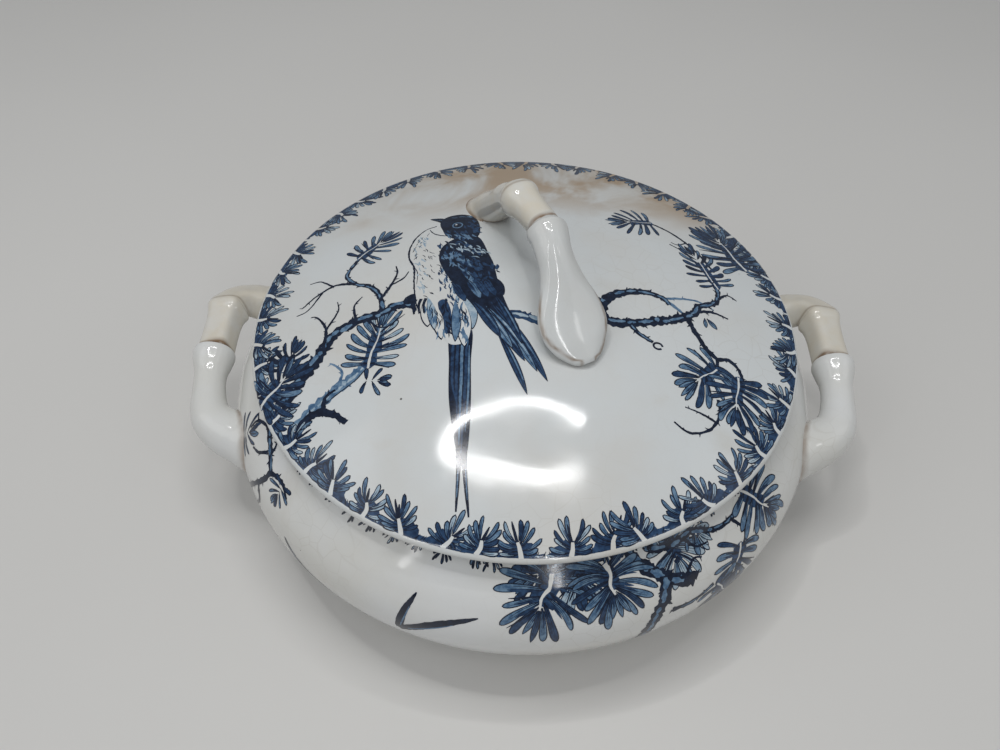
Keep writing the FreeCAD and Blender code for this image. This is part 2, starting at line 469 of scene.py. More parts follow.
def mirrored_handle(right):
    mesh = right.data.copy()
    mesh.transform(Matrix.Scale(-1, 4, (1, 0, 0)))
    mesh.flip_normals()
    piece = new_object("bamboo_left_handle", mesh)
    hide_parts("left_handle")
    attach(piece, "bowl")
    return piece


LID_HANDLE_TURN = math.radians(23.5)   # from -Y towards +X

# Lid handle, millimetres: distance along, height over the lip, distance aside, half width, half
# thickness. It is luted on a little off the axis and not quite straight.
LID_REAR = [
    (8.0, 56.0, 5.6, 4.0, 4.0),
    (6.0, 56.1, 5.6, 6.1, 6.0),
    (0.0, 56.4, 5.2, 6.3, 6.2),
    (-6.0, 56.8, 4.5, 6.4, 6.3),
    (-11.0, 57.0, 3.8, 6.9, 6.8),
    (-13.6, 57.0, 3.4, 7.8, 7.6),
    (-15.6, 56.9, 3.2, 8.1, 7.9),
    (-16.8, 56.4, 3.2, 7.7, 7.5),
    (-20.0, 54.4, 3.2, 6.8, 6.8),
    (-23.5, 52.0, 3.3, 6.4, 6.4),
    (-28.0, 48.4, 3.5, 6.3, 6.3),
    (-35.0, 41.4, 4.1, 6.3, 6.3),
    (-42.0, 34.4, 4.6, 6.8, 6.8),
    (-48.0, 28.4, 5.0, 7.6, 7.4),
]
LID_FRONT = [
    (4.3, 56.2, 5.6, 5.0, 5.0),
    (4.5, 56.2, 5.6, 7.5, 7.3),
    (5.3, 56.0, 5.5, 8.2, 7.9),
    (7.2, 55.7, 5.3, 8.3, 7.8),
    (10.0, 54.9, 5.0, 7.8, 7.1),
    (14.5, 52.6, 4.4, 7.4, 6.5),
    (19.5, 48.6, 4.4, 7.9, 5.8),
    (24.5, 43.9, 4.4, 9.8, 5.2),
    (29.0, 39.7, 4.3, 12.3, 4.8),
    (33.5, 35.8, 4.1, 13.9, 4.5),
    (38.0, 32.4, 3.9, 13.9, 4.2),
    (42.0, 29.6, 4.0, 12.3, 3.9),
    (45.8, 27.0, 4.3, 9.3, 3.3),
    (48.6, 25.2, 4.5, 6.0, 2.7),
    (49.8, 24.4, 4.6, 3.2, 2.0),
]


def lid_handle(body):
    along = Vector((math.sin(LID_HANDLE_TURN), -math.cos(LID_HANDLE_TURN), 0))
    across = Vector((math.cos(LID_HANDLE_TURN), math.sin(LID_HANDLE_TURN), 0))

    def rings(rows, power):
        placed = []
        for s, height, aside, wide, thick in scaled(rows):
            spot = along * s + across * aside + Vector((0, 0, LIP_Z + height))
            placed.append((*spot, wide, thick))
        return bar_rings(placed, across, power)

    rear = flare(rings(LID_REAR, 2.4), body, 4.5 * MM)
    front = rings(LID_FRONT, 1.9)
    for ring in front:
        for p in ring:
            p.z = max(p.z, dome(math.hypot(p.x, p.y)) - 1.5 * MM)
    piece = skin("bamboo_lid_handle", rear)
    merge(piece, skin("lid_handle_front", front))
    reach, _, aside, width, _ = zip(*scaled(LID_FRONT))

    def stain(p):
        s = p.dot(along)
        high = rise(p.z, LIP_Z + 38 * MM, LIP_Z + 42 * MM)
        ring = 1.7 * near(s - 4.0 * MM, 2.0 * MM) * rise(-s, -4.6 * MM, -3.8 * MM) * high
        cap = near(s + 17.0 * MM, 1.0 * MM) * high
        gap = body.find_nearest(p)[3]
        side = abs(p.dot(across) - numpy.interp(s, reach, aside))
        edge = near(side - 0.95 * numpy.interp(s, reach, width), 0.9 * MM)
        edge *= rise(s, 24 * MM, 29 * MM)
        return max(ring, 0.6 * cap, 0.9 * edge, near(gap - 0.2 * MM, 1.6 * MM))

    wear(piece, lambda p: rise(-p.dot(along), -5 * MM, 0), stain)
    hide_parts("lid_handle")
    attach(piece, "lid")
    return piece


# ---- materials

class Nodes:
    """Short way to write a node tree."""

    def __init__(self, name, base=None):
        """A new material, or a copy of base to change."""
        if base:
            self.material = base.copy()
            self.material.name = name
        else:
            self.material = bpy.data.materials.new(name)
            self.material.use_nodes = True
        self.tree = self.material.node_tree
        self.shader = self.tree.nodes["Principled BSDF"]
        kept = [node for node in self.tree.nodes if node.type == "TEX_COORD"]
        self.place = (kept[0] if kept else self.add("ShaderNodeTexCoord")).outputs["Object"]

    def add(self, kind, **settings):
        node = self.tree.nodes.new(kind)
        for key, value in settings.items():
            setattr(node, key, value)
        return node

    def link(self, value, socket):
        """Sets a socket to a number, a colour or another node's output."""
        if isinstance(value, (int, float)):
            socket.default_value = value
        elif isinstance(value, tuple):
            socket.default_value = (*value, 1)
        else:
            self.tree.links.new(value, socket)

    def feed(self, key, value):
        self.link(value, self.shader.inputs[key])

    def fill(self, node, **values):
        """Sets a node's inputs by name, with _ for a space."""
        for key, value in values.items():
            self.link(value, node.inputs[key.replace("_", " ")])
        return node.outputs

    def noise(self, scale, detail=3.0, rough=0.5, distort=0.0):
        node = self.add("ShaderNodeTexNoise")
        return self.fill(node, Vector=self.place, Scale=scale, Detail=detail, Roughness=rough,
                         Distortion=distort)["Fac"]

    def cells(self, scale, feature, vector):
        node = self.add("ShaderNodeTexVoronoi", feature=feature)
        return self.fill(node, Vector=vector, Scale=scale)["Distance"]

    def stored(self, name):
        return self.add("ShaderNodeAttribute", attribute_name=name).outputs["Fac"]

    def ramp(self, value, low, high, to_low=0.0, to_high=1.0):
        node = self.add("ShaderNodeMapRange", interpolation_type="SMOOTHSTEP")
        return self.fill(node, Value=value, From_Min=low, From_Max=high, To_Min=to_low,
                         To_Max=to_high)["Result"]

    def times(self, a, b):
        node = self.add("ShaderNodeMath", operation="MULTIPLY")
        self.link(a, node.inputs[0])
        self.link(b, node.inputs[1])
        return node.outputs[0]

    def mix(self, factor, a, b):
        node = self.add("ShaderNodeMix", data_type="RGBA")
        return self.fill(node, Factor=factor, A=a, B=b)["Result"]

    def bump(self, height, strength, distance, **under):
        node = self.add("ShaderNodeBump")
        return self.fill(node, Strength=strength, Distance=distance, Height=height, **under)["Normal"]


def glaze(name, white, warm, stain, burn):
    """Old glossy lead glaze: cloudy white, faint crazing, tea stains, pin-holes and specks.

    stain is the strength of the tea stains and burn that of the brown patch towards the back.
    """
    n = Nodes(name)
    colour = n.mix(n.ramp(n.noise(14, 4, 0.55), 0.35, 0.7), white, warm)
    tea = n.ramp(n.noise(22, 5, 0.6, 0.4), 0.56, 0.78, 0.0, stain)
    colour = n.mix(tea, colour, (0.44, 0.36, 0.24))
    apart = n.fill(n.add("ShaderNodeSeparateXYZ"), Vector=n.place)
    far = n.times(n.ramp(apart["Y"], 0.035, 0.085), burn)
    burnt = n.times(far, n.ramp(n.noise(13, 4, 0.6, 1.2), 0.40, 0.62))
    colour = n.mix(burnt, colour, (0.36, 0.25, 0.145))
    wobble = n.fill(n.add("ShaderNodeTexNoise"), Scale=60, Vector=n.place)["Color"]
    warped = n.add("ShaderNodeVectorMath", operation="MULTIPLY_ADD")
    n.link(wobble, warped.inputs[0])
    warped.inputs[1].default_value = (4 * MM, 4 * MM, 4 * MM)
    n.link(n.place, warped.inputs[2])
    craze = n.ramp(n.cells(130, "DISTANCE_TO_EDGE", warped.outputs[0]), 0.0, 0.035, 1.0, 0.0)
    patch = n.ramp(n.noise(9, 2), 0.45, 0.65, 0.02, 0.16)
    colour = n.mix(n.times(craze, patch), colour, (0.33, 0.29, 0.22))
    speck = n.ramp(n.cells(62, "F1", n.place), 0.022, 0.034, 1.0, 0.0)
    dot = n.times(speck, n.ramp(n.noise(37, 1), 0.56, 0.58))
    colour = n.mix(n.times(dot, 0.85), colour, (0.035, 0.03, 0.025))
    worn = n.ramp(n.noise(90, 4, 0.6), 0.3, 0.7, 0.40, 0.85)
    colour = n.mix(n.times(n.stored("warm"), worn), colour, (0.63, 0.575, 0.47))
    dirt = n.times(n.stored("stain"), n.ramp(n.noise(130, 3), 0.25, 0.6, 0.45, 1.0))
    n.feed("Base Color", n.mix(dirt, colour, (0.20, 0.125, 0.07)))
    n.feed("Roughness", n.ramp(n.noise(45, 4), 0.3, 0.75, 0.07, 0.15))
    ripple = n.bump(n.noise(16, 2), 0.35, 2.2 * MM)
    pits = n.bump(dot, 0.4, -0.25 * MM, Normal=ripple)
    n.feed("Normal", n.bump(n.noise(240, 2), 0.05, 0.3 * MM, Normal=pits))
    n.feed("IOR", 1.52)
    return n.material


def paint(piece, material):
    piece.data.materials.clear()
    piece.data.materials.append(material)


# ---- printed decoration
#
# The blue print is drawn flat, in millimetres, as complex numbers: x along, y up. Later shapes
# lie over earlier ones. Each drawing is cut into triangles and laid on the glaze.

LINE, DEEP, WASH, PALE, BARE = range(5)
LINE_WIDTH = 0.42


class Drawing:
    """Inked shapes. Its marks are rows of a drawing function and what follows art in its call."""

    def __init__(self, seed, level, marks=()):
        self.shapes = []
        self.support = []
        self.level = level
        self.random = random.Random(seed)
        self.between = self.random.uniform
        self.pick = self.random.choice
        for act, *values in marks:
            act(self, *values)

    def add(self, outline, ink):
        self.shapes.append((outline, ink))

    def vary(self, amount):
        return 1 + self.between(-amount, amount)

    def bend(self, place):
        """Moves every point of the drawing by place."""
        self.shapes = [([place(p) for p in outline], ink) for outline, ink in self.shapes]
        self.support = [place(p) for p in self.support]


def polar(length, angle):
    return complex(length * math.cos(angle), length * math.sin(angle))


def curve_through(points, step, closed=False):
    """Smooth line through points, with samples about a step apart."""
    rows = [(p.real, p.imag) for p in points]
    last = len(rows) - 1
    out = []
    for i in range(last + closed):
        if closed:
            a, b, c, d = (rows[(i + k) % len(rows)] for k in (-1, 0, 1, 2))
        else:
            a, b, c, d = rows[max(i - 1, 0)], rows[i], rows[i + 1], rows[min(i + 2, last)]
        count = max(2, round(math.dist(b, c) / step))
        out += [complex(*catmull(a, b, c, d, k / count)) for k in range(count)]
    return out if closed else out + [points[-1]]


def sides(line, half_widths):
    """Outline of a line with a half width at each of its points, on the left and on the right."""
    left, right = [], []
    for i, p in enumerate(line):
        along = line[min(i + 1, len(line) - 1)] - line[max(i - 1, 0)]
        normal = along / abs(along) * 1j
        left.append(p + normal * half_widths[i][0])
        right.append(p - normal * half_widths[i][1])
    return left + right[::-1]


def band(art, line, half_widths, rough, ink):
    """Inks a line with uneven sides and gives back the half widths it came to."""
    uneven = [(half * art.vary(rough), half * art.vary(rough)) for half in half_widths]
    art.add(sides(line, uneven), ink)
    return uneven


def stroke(art, points, start, end, ink, middle=None, rough=0.0):
    """A brush stroke: widths at its start, middle and end."""
    line = curve_through(points, 1.0)
    halves = []
    for i in range(len(line)):
        t = i / (len(line) - 1)
        if middle is None:
            wide = start + (end - start) * t
        else:
            wide = start * (1 - t) ** 2 + middle * 3 * t * (1 - t) + end * t * t
        halves.append(max(wide, 0.06) / 2)
    band(art, line, halves, rough, ink)


def blob(art, points, ink, step=1.2):
    """Closed smooth shape through points."""
    art.add(curve_through(points, step, closed=True), ink)


def disc(art, centre, radius, ink, count=8, step=0.6):
    blob(art, [centre + polar(radius, 2 * math.pi * k / count) for k in range(count)], ink, step)


def small_ring(art, centre, radius):
    """End of a cut branch, seen a little from the side."""
    flat = [polar(radius, k * math.pi / 4) for k in range(8)]
    stroke(art, [centre + complex(p.real, p.imag * 0.8) for p in flat], 0.9, 0.9, LINE)


def blade(base, tip, width, bend=0.0, blunt=False, left=1.0, right=1.0):
    """Outline of a leaf. Blunt ones keep straight sides up to a round tip."""
    axis = tip - base
    normal = axis / abs(axis) * 1j
    count = max(6, round(abs(axis) / 1.4))
    first, second = [], []
    for i in range(1, count):
        t = 1 - (1 - i / count) ** 1.35
        if blunt:
            half = width / 2 * min(1, 0.4 + 0.9 * t) * math.sqrt(1 - max(0, (t - 0.75) / 0.25) ** 2)
        else:
            half = width / 2 * math.sin(math.pi * t ** 1.15) ** 0.72
        middle = base + axis * t + normal * (bend * abs(axis) * 4 * t * (1 - t))
        first.append(middle + normal * half * left)
        second.append(middle - normal * half * right)
    return [base] + first + [tip] + second[::-1]


def leaf(art, base, tip, width, fill, bend=0.0, shade=0.5, blunt=False):
    """A needle leaf: inked outline, washed face, one side and the foot darker, fine veins."""
    axis = tip - base
    unit = axis / abs(axis)
    art.add(blade(base, tip, width, bend, blunt), LINE)
    inner = width - 2 * LINE_WIDTH
    if inner < 0.3 or fill == LINE:
        return
    start, end = base + unit * 0.7, tip - unit * LINE_WIDTH * 1.2
    art.add(blade(start, end, inner, bend, blunt), fill)
    side = art.pick((1, -1))
    reach = start + (end - start) * min(shade * art.vary(0.25), 0.95)
    keep = (1.0, 0.1) if side > 0 else (0.1, 1.0)
    art.add(blade(start, reach, inner * 0.95, bend * shade, False, *keep), DEEP)
    bow = unit * 1j * (bend * abs(axis))
    for offset in ((0.0,) if inner < 1.7 else (-0.2, 0.14)):
        aside = unit * 1j * offset * inner
        line = [base + aside * 0.4, base + axis * 0.42 + bow * 0.95 + aside,
                base + axis * art.between(0.62, 0.85) + bow * 0.7 + aside * 0.8]
        stroke(art, line, LINE_WIDTH, 0.10, LINE)


def tuft(art, root, heading, stem, reach, width, count, fills, stem_width, shade=0.5,
         spread=(98, 16), crown=2):
    """Pine tuft: leaves fanned out on both sides of a pale stem, with a few at its tip.

    heading and the spread of the leaves, from the lowest to the highest, are in degrees.
    """
    aim = polar(1, math.radians(heading))
    heart = [root + aim * (stem * t + polar(reach * art.between(0.18, 0.34), side * turn))
             for side, ts in ((1, (0, 0.35, 0.7)), (-1, (0.7, 0.35, 0)))
             for t in ts for turn in (1.35 - 0.5 * t, 1.15 - 0.5 * t)]
    if count > 4:
        blob(art, [root - aim] + heart, DEEP)
    for i in range(count):
        t = i / (count - 1)
        angle = math.radians(spread[0] + (spread[1] - spread[0]) * t)
        for side in (1, -1):
            base = root + aim * stem * (0.10 + 0.88 * t) + aim * 1j * side * stem_width * 0.3
            turn = angle * art.vary(0.09) * side
            long = reach * (0.74 + 0.32 * math.sin(math.pi * (0.2 + 0.6 * t))) * art.vary(0.16)
            leaf(art, base, base + aim * polar(long, turn), width * art.vary(0.22), art.pick(fills),
                 0.05 * side * art.vary(1.2), shade, blunt=True)
            if art.random.random() < 0.45:
                turn += side * math.radians(11)
                tip = base + aim * polar(long * art.between(0.6, 0.95), turn)
                stroke(art, [base, tip], 0.3, 0.15, LINE, width * 0.28)
    top = root + aim * stem
    for i in range(crown):
        turn = math.radians((i - (crown - 1) / 2) * 19 * art.vary(0.3))
        leaf(art, top, top + aim * polar(reach * 0.85 * art.vary(0.15), turn), width * 0.9,
             art.pick(fills), shade=shade)
    if stem_width > 0:
        wave = aim * 1j * stem_width * 0.4
        spine = [root - aim * 0.5, root + aim * stem * 0.35 + wave, root + aim * stem * 0.7 - wave,
                 top + aim]
        stroke(art, spine, stem_width, stem_width * 0.35, BARE, rough=0.25)


def branch(art, points, start, end, spurs, fill=None, ink=LINE, rough=0.28):
    """Knotty branch: uneven bark, light patches and small spurs about spurs apart, or none at 0."""
    line = curve_through(points, 1.1)
    last = len(line) - 1
    halves = [(start + (end - start) * i / last) / 2 for i in range(len(line))]
    widths = band(art, line, halves, rough, ink)
    position, side = spurs * 0.6, 1
    travelled = 0.0
    for i in range(1, len(line)):
        step = line[i] - line[i - 1]
        travelled += abs(step)
        if spurs and travelled > position:
            position += spurs * art.vary(0.4)
            side = -side
            wide = widths[i][0]
            out = step / abs(step) * complex(0.45, 0.9 * side) * (wide + 1.1 * art.vary(0.5))
            stroke(art, [line[i], line[i] + out], wide * 0.9 + 0.3, 0.15, ink)
    if fill is None:
        return
    i = 1
    while i < len(line) - 5:
        length = art.random.randint(3, 7)
        wide = widths[i][0]
        part = line[i:i + length]
        if wide > 0.55 and len(part) > 2:
            across = (part[1] - part[0]) / abs(part[1] - part[0]) * 1j
            shift = across * wide * art.between(-0.3, 0.45)
            ts = [min(max(k / (len(part) - 1), 0.08), 0.92) for k in range(len(part))]
            patch = [wide * 0.42 * math.sin(math.pi * t) ** 0.6 for t in ts]
            band(art, [p + shift for p in part], patch, 0.4, fill)
        i += length + art.random.randint(-1, 1)


def within(outline, spots):
    """Which of an array of complex spots lie in an outline, by winding number."""
    turns = numpy.zeros(len(spots))
    for a, b in zip(outline, outline[1:] + outline[:1]):
        rising = (a.imag <= spots.imag) & (b.imag > spots.imag)
        falling = (b.imag <= spots.imag) & (a.imag > spots.imag)
        left = ((b - a).conjugate() * (spots - a)).imag
        turns += rising & (left > 0)
        turns -= falling & (left < 0)
    return turns != 0


def triangles(drawing, grid=2.6):
    """Triangles of the drawing's shapes, each with the ink that shows there."""
    points, outlines = [], []
    for outline, _ in drawing.shapes:
        outlines.append(list(range(len(points), len(points) + len(outline))))
        points += [Vector((p.real, p.imag)) for p in outline]
    low_x, high_x = min(p.x for p in points), max(p.x for p in points)
    low_y, high_y = min(p.y for p in points), max(p.y for p in points)
    for i in range(int((high_x - low_x) / grid) + 1):
        for j in range(int((high_y - low_y) / grid) + 1):
            points.append(Vector((low_x + (i + j % 2 / 2) * grid, low_y + j * grid)))
    points += [Vector((p.real, p.imag)) for p in drawing.support]
    verts, _, faces, _, _, _ = delaunay_2d_cdt(points, [], outlines, 1, 1e-4)
    flat = numpy.array([complex(v.x, v.y) for v in verts])
    spots = flat[numpy.array(faces)].mean(axis=1)
    shown = numpy.full(len(faces), -1)
    for outline, ink in drawing.shapes:
        edge = numpy.array(outline)
        boxed = ((spots.real > edge.real.min()) & (spots.real < edge.real.max())
                 & (spots.imag > edge.imag.min()) & (spots.imag < edge.imag.max()))
        chosen = numpy.flatnonzero(boxed)
        shown[chosen[within(outline, spots[chosen])]] = ink
    return verts, [(face, int(ink)) for face, ink in zip(faces, shown) if ink >= 0]


PRINT_LIFT = 0.05 * MM
LEVEL_LIFT = 0.02 * MM


def lay(name, drawings, face_point, inks):
    """Lays drawings on a surface. face_point turns (x, y) into a point and its normal, or None."""
    verts, normals, faces, slots = [], [], [], []
    for drawing in drawings:
        flat, kept = triangles(drawing)
        lift = PRINT_LIFT + LEVEL_LIFT * drawing.level
        index = {}
        for face, ink in kept:
            if not all(face_point(flat[i].x, flat[i].y) for i in face):
                continue
            for i in face:
                if i not in index:
                    index[i] = len(verts)
                    point, normal = face_point(flat[i].x, flat[i].y)
                    verts.append(point + normal * lift)
                    normals.append(normal)
            corners = [index[i] for i in face]
            a, b, c = (verts[i] for i in corners[:3])
            if (b - a).cross(c - a).dot(normals[corners[0]]) < 0:
                corners.reverse()
            faces.append(corners)
            slots.append(ink)
    mesh = bpy.data.meshes.new(name)
    mesh.from_pydata(verts, [], faces)
    for material in inks:
        mesh.materials.append(material)
    mesh.polygons.foreach_set("material_index", slots)
    shade_smooth(mesh)
    mesh.normals_split_custom_set_from_vertices(normals)
    return new_object(name, mesh)


class TurnedFace:
    """The outer line of a turned piece. Lengths along it count from the radius origin."""

    def __init__(self, points, origin):
        self.points = even(points, 0.4 * MM)
        self.step = math.dist(self.points[0], self.points[1]) / MM
        first = min(range(len(self.points)), key=lambda i: abs(self.points[i][0] - origin))
        self.start = first * self.step

    def at(self, length, angle):
        want = (self.start + length) / self.step
        i = min(max(int(want), 1), len(self.points) - 3)
        t = want - i
        (ra, za), (r0, z0), (r1, z1), (rb, zb) = self.points[i - 1:i + 3]
        out = Vector((math.cos(angle), math.sin(angle), 0))
        normal = out * (za - zb) + Vector((0, 0, 1)) * (rb - ra)
        return out * (r0 + (r1 - r0) * t) + Vector((0, 0, z0 + (z1 - z0) * t)), normal.normalized()


PLAN_REACH = 108.0          # millimetres: the lid is drawn in plan up to here, then along its face
LID_FACE = TurnedFace(lid_face()[20:], PLAN_REACH * MM)
BOWL_REACH = 125.0          # millimetres: radius at which x runs true round the bowl
# First point of the outline on the rim: the bowl's print stops below it.
RIM_START = next(i for i, p in enumerate(BOWL_OUTLINE) if p[1] > RIM_Z - 1.6 * MM)
SHOULDER_FACE = TurnedFace(BOWL_OUTLINE[:RIM_START][::-1], NECK_R + 0.4 * MM)


def on_lid(x, y):
    """Plan position on the lid, millimetres, to a point on its face and the normal there."""
    r = math.hypot(x, y)
    if r > PLAN_REACH:
        return LID_FACE.at(r - PLAN_REACH, math.atan2(y, x))
    slope = DOME_RISE * r * MM / DOME_SPREAD ** 2 / math.hypot(1, r * MM / DOME_SPREAD)
    normal = Vector((x * slope / max(r, 1e-6), y * slope / max(r, 1e-6), 1))
    return Vector((x * MM, y * MM, dome(r * MM))), normal.normalized()


def on_bowl(x, y):
    """x millimetres round from the front and y up from the neck's foot, or None over the rim."""
    if SHOULDER_FACE.start - y < 0:
        return None
    return SHOULDER_FACE.at(-y, x / BOWL_REACH - math.pi / 2)


def edge_tuft(art, lean, size):
    """Tuft that springs from an edge at y = 0: round-ended leaves, a broad pale stem, a spike."""
    heading = math.pi / 2 + lean
    aim = polar(1, heading)
    stem = size * 0.40 * art.vary(0.15)
    heart = [polar(size * art.between(0.38, 0.52), math.radians(a)) for a in range(8, 173, 23)]
    blob(art, [0.2j] + heart, DEEP)
    for i in range(5):
        angle = math.radians(86 - 17 * i)
        for side in (1, -1):
            base = aim * stem * (0.25 + 0.18 * i) + aim * 1j * side * size * 0.03
            turn = angle * art.vary(0.10) * side
            tip = base + aim * polar(size * (0.56 + 0.035 * i) * art.vary(0.18), turn)
            leaf(art, base, complex(tip.real, max(tip.imag, 1.2)), size * 0.150 * art.vary(0.15),
                 art.pick((PALE, WASH, WASH, DEEP)), 0.06 * side * art.vary(0.8), 0.55, blunt=True)
    for k in range(art.pick((1, 1, 1, 2))):
        turn = heading + art.between(-0.45, 0.45) + 0.3 * k
        spike = [aim * stem * 0.8, aim * stem + polar(size * art.between(0.38, 0.6), turn)]
        stroke(art, spike, size * 0.05, size * 0.03, LINE, size * 0.085, 0.1)
    curl = aim * 1j * size * art.between(-0.06, 0.06)
    spine = [-0.2j, aim * stem * 0.5 + curl, aim * stem]
    stroke(art, spine, size * 0.14, size * 0.08, BARE, rough=0.1)


def border(count, seed, size, pitch, place):
    """Ring of edge tufts. place(centre, p) puts a point of a tuft at its spot round the ring."""
    rng = random.Random(seed)
    half = pitch * 0.56
    drawings = []
    for i in range(count):
        art = Drawing(seed + i, i % 2)
        centre = 2 * math.pi * (i + rng.uniform(-0.14, 0.14)) / count
        top = [complex(half - k * half / 4, 1.7 + rng.uniform(-0.5, 0.7)) for k in range(9)]
        art.add([complex(-half + k * half / 4, 0.1 * (k % 2)) for k in range(9)] + top, DEEP)
        for k in range(8):
            x = ((k + 0.5) / 4 - 1) * half
            stroke(art, [complex(x, 0.2), complex(x + rng.uniform(-1.5, 1.5), 2.4)], 0.7, 0.15, LINE)
        for k in range(3):
            x = rng.uniform(-0.9, 0.8) * half
            stroke(art, [complex(x, 0.7), complex(x + rng.uniform(1.5, 3), 1.1)], 0.5, 0.2, PALE)
        edge_tuft(art, rng.choice((-1, 1, 1)) * rng.uniform(0.1, 0.65), size)
        art.support = [complex(x * half / 4, y * 0.5) for x in range(-6, 7) for y in range(10)]
        art.bend(lambda p: place(centre, p))
        drawings.append(art)
    return drawings


LID_EDGE = 117.4            # millimetres: where the lid's print stops, along its face
LID_BORDER_R = 112          # millimetres: radius at which the lid's tufts keep their width
NECK_EDGE = 2.4             # millimetres: how far up the neck the bowl's border starts
NECK_STRETCH = 1.1          # makes up for the neck being narrower than BOWL_REACH


def round_the_lid(centre, p):
    return polar(LID_EDGE - p.imag, centre - p.real / LID_BORDER_R)


def round_the_neck(centre, p):
    return complex(centre * BOWL_REACH + p.real * NECK_STRETCH, NECK_EDGE - p.imag)


# The scenes, as rows of a drawing's seed, its level over the glaze and its marks.

